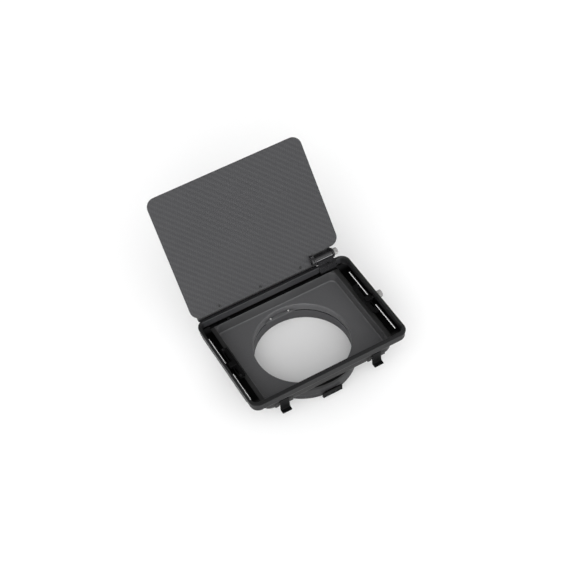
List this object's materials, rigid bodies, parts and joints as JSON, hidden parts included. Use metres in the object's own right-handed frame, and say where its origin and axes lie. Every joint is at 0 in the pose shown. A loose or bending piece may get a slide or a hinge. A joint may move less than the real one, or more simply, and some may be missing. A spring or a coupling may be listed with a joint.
{
  "type": "matte box",
  "caption": "Clip-on matte box: shallow black hood with a filter stage, round bore, rear lock ring, bottom latches and a folding carbon top flag on a friction hinge.",
  "frame": {"origin": "on the axis of the round bore, in the plane of the rear ring's rear face", "axes": "+Z along the bore towards the hood's open front, +Y towards the flag's hinge, +X towards the side lock screw"},
  "size_m": [0.1655, 0.1908, 0.1355],
  "materials": {
    "hood_moulding": "fine matt grain",
    "grip_strip": "diagonal knurl",
    "stage_casting": "bead-blasted black anodising",
    "ring_black": "satin black anodising",
    "soft_seal": "matt foam",
    "bumper_rubber": "matt",
    "black_plastic": "satin moulded plastic",
    "carbon_sheet": "matt twill carbon fibre",
    "black_metal": "satin black anodising",
    "dark_screw": "black oxide",
    "bright_steel": "bright turned"
  },
  "bodies": {
    "housing": {"hood_frame": "hood_moulding", "side_grip_left": "grip_strip", "side_grip_right": "grip_strip", "stage_body": "stage_casting", "stage_screw_1": "dark_screw", "stage_screw_2": "dark_screw", "stage_screw_3": "dark_screw", "stage_screw_4": "dark_screw", "stage_screw_5": "dark_screw", "stage_screw_6": "dark_screw", "rear_bumper_1": "bumper_rubber", "rear_bumper_2": "bumper_rubber", "rear_bumper_3": "bumper_rubber", "rear_bumper_4": "bumper_rubber", "bore_plate": "stage_casting", "bore_plate_screw_left": "bright_steel", "bore_plate_screw_right": "bright_steel", "light_seal": "soft_seal", "ring_housing": "ring_black", "ring_screw_1": "dark_screw", "ring_screw_2": "dark_screw", "ring_screw_3": "dark_screw", "ring_screw_4": "dark_screw", "retaining_ring": "ring_black", "clip_left": "black_plastic", "clip_screw_lower": "dark_screw", "clip_screw_upper": "dark_screw", "rim_screw": "dark_screw", "hinge_block": "black_metal", "hinge_block_screw": "dark_screw", "latch_pin_left": "bright_steel", "latch_pin_right": "bright_steel", "latch_spring_left": "bright_steel", "latch_spring_right": "bright_steel"},
    "flag": {"flag_panel": "carbon_sheet", "flag_rail": "black_metal", "hinge_bracket": "black_metal", "flag_screw_1": "dark_screw", "flag_screw_2": "dark_screw", "flag_screw_3": "dark_screw", "bracket_screw_1": "dark_screw", "bracket_screw_2": "dark_screw"},
    "tension_screw": {"tension_screw": "bright_steel"},
    "side_lock_screw": {"side_lock_screw": "bright_steel"},
    "clip_right": {"clip_right": "black_plastic"},
    "latch_left": {"latch_left": "black_plastic"},
    "latch_right": {"latch_right": "black_plastic"},
    "lock_ring": {"lock_ring": "ring_black", "release_tab": "black_plastic", "tab_screw_left": "dark_screw", "tab_screw_right": "dark_screw"}
  },
  "joints": [
    {"name": "flag_hinge", "type": "hinge", "parent": "housing", "child": "flag", "pos_m": [0.0585, 0.059, 0.0465], "axis": [1, 0, 0], "range_deg": [-15, 128]},
    {"name": "tension_screw_turn", "type": "hinge", "parent": "flag", "child": "tension_screw", "pos_m": [0.0693, 0.059, 0.0465], "axis": [1, 0, 0], "range_deg": [-180, 180]},
    {"name": "side_lock_screw_turn", "type": "hinge", "parent": "housing", "child": "side_lock_screw", "pos_m": [0.0803, -0.0007, 0.0361], "axis": [1, 0, 0], "range_deg": [-720.1, 0]},
    {"name": "clip_right_slide", "type": "slide", "parent": "housing", "child": "clip_right", "axis": [1, 0, 0], "range_m": [0, 0.002]},
    {"name": "latch_left_pivot", "type": "hinge", "parent": "housing", "child": "latch_left", "pos_m": [-0.04775, -0.0502, 0.0217], "axis": [1, 0, 0], "range_deg": [0, 16], "stiffness_Nm_per_rad": 0.01, "springref_deg": -20.05},
    {"name": "latch_right_pivot", "type": "hinge", "parent": "housing", "child": "latch_right", "pos_m": [0.04775, -0.0502, 0.0217], "axis": [1, 0, 0], "range_deg": [0, 16], "stiffness_Nm_per_rad": 0.01, "springref_deg": -20.05},
    {"name": "lock_ring_turn", "type": "hinge", "parent": "housing", "child": "lock_ring", "pos_m": [0, 0, 0.005], "axis": [0, 0, 1], "range_deg": [0, 25]}
  ],
  "couplings": [
    {"joint": "side_lock_screw_turn", "follows": "clip_right_slide", "rad_per_m": -6283.2}
  ]
}
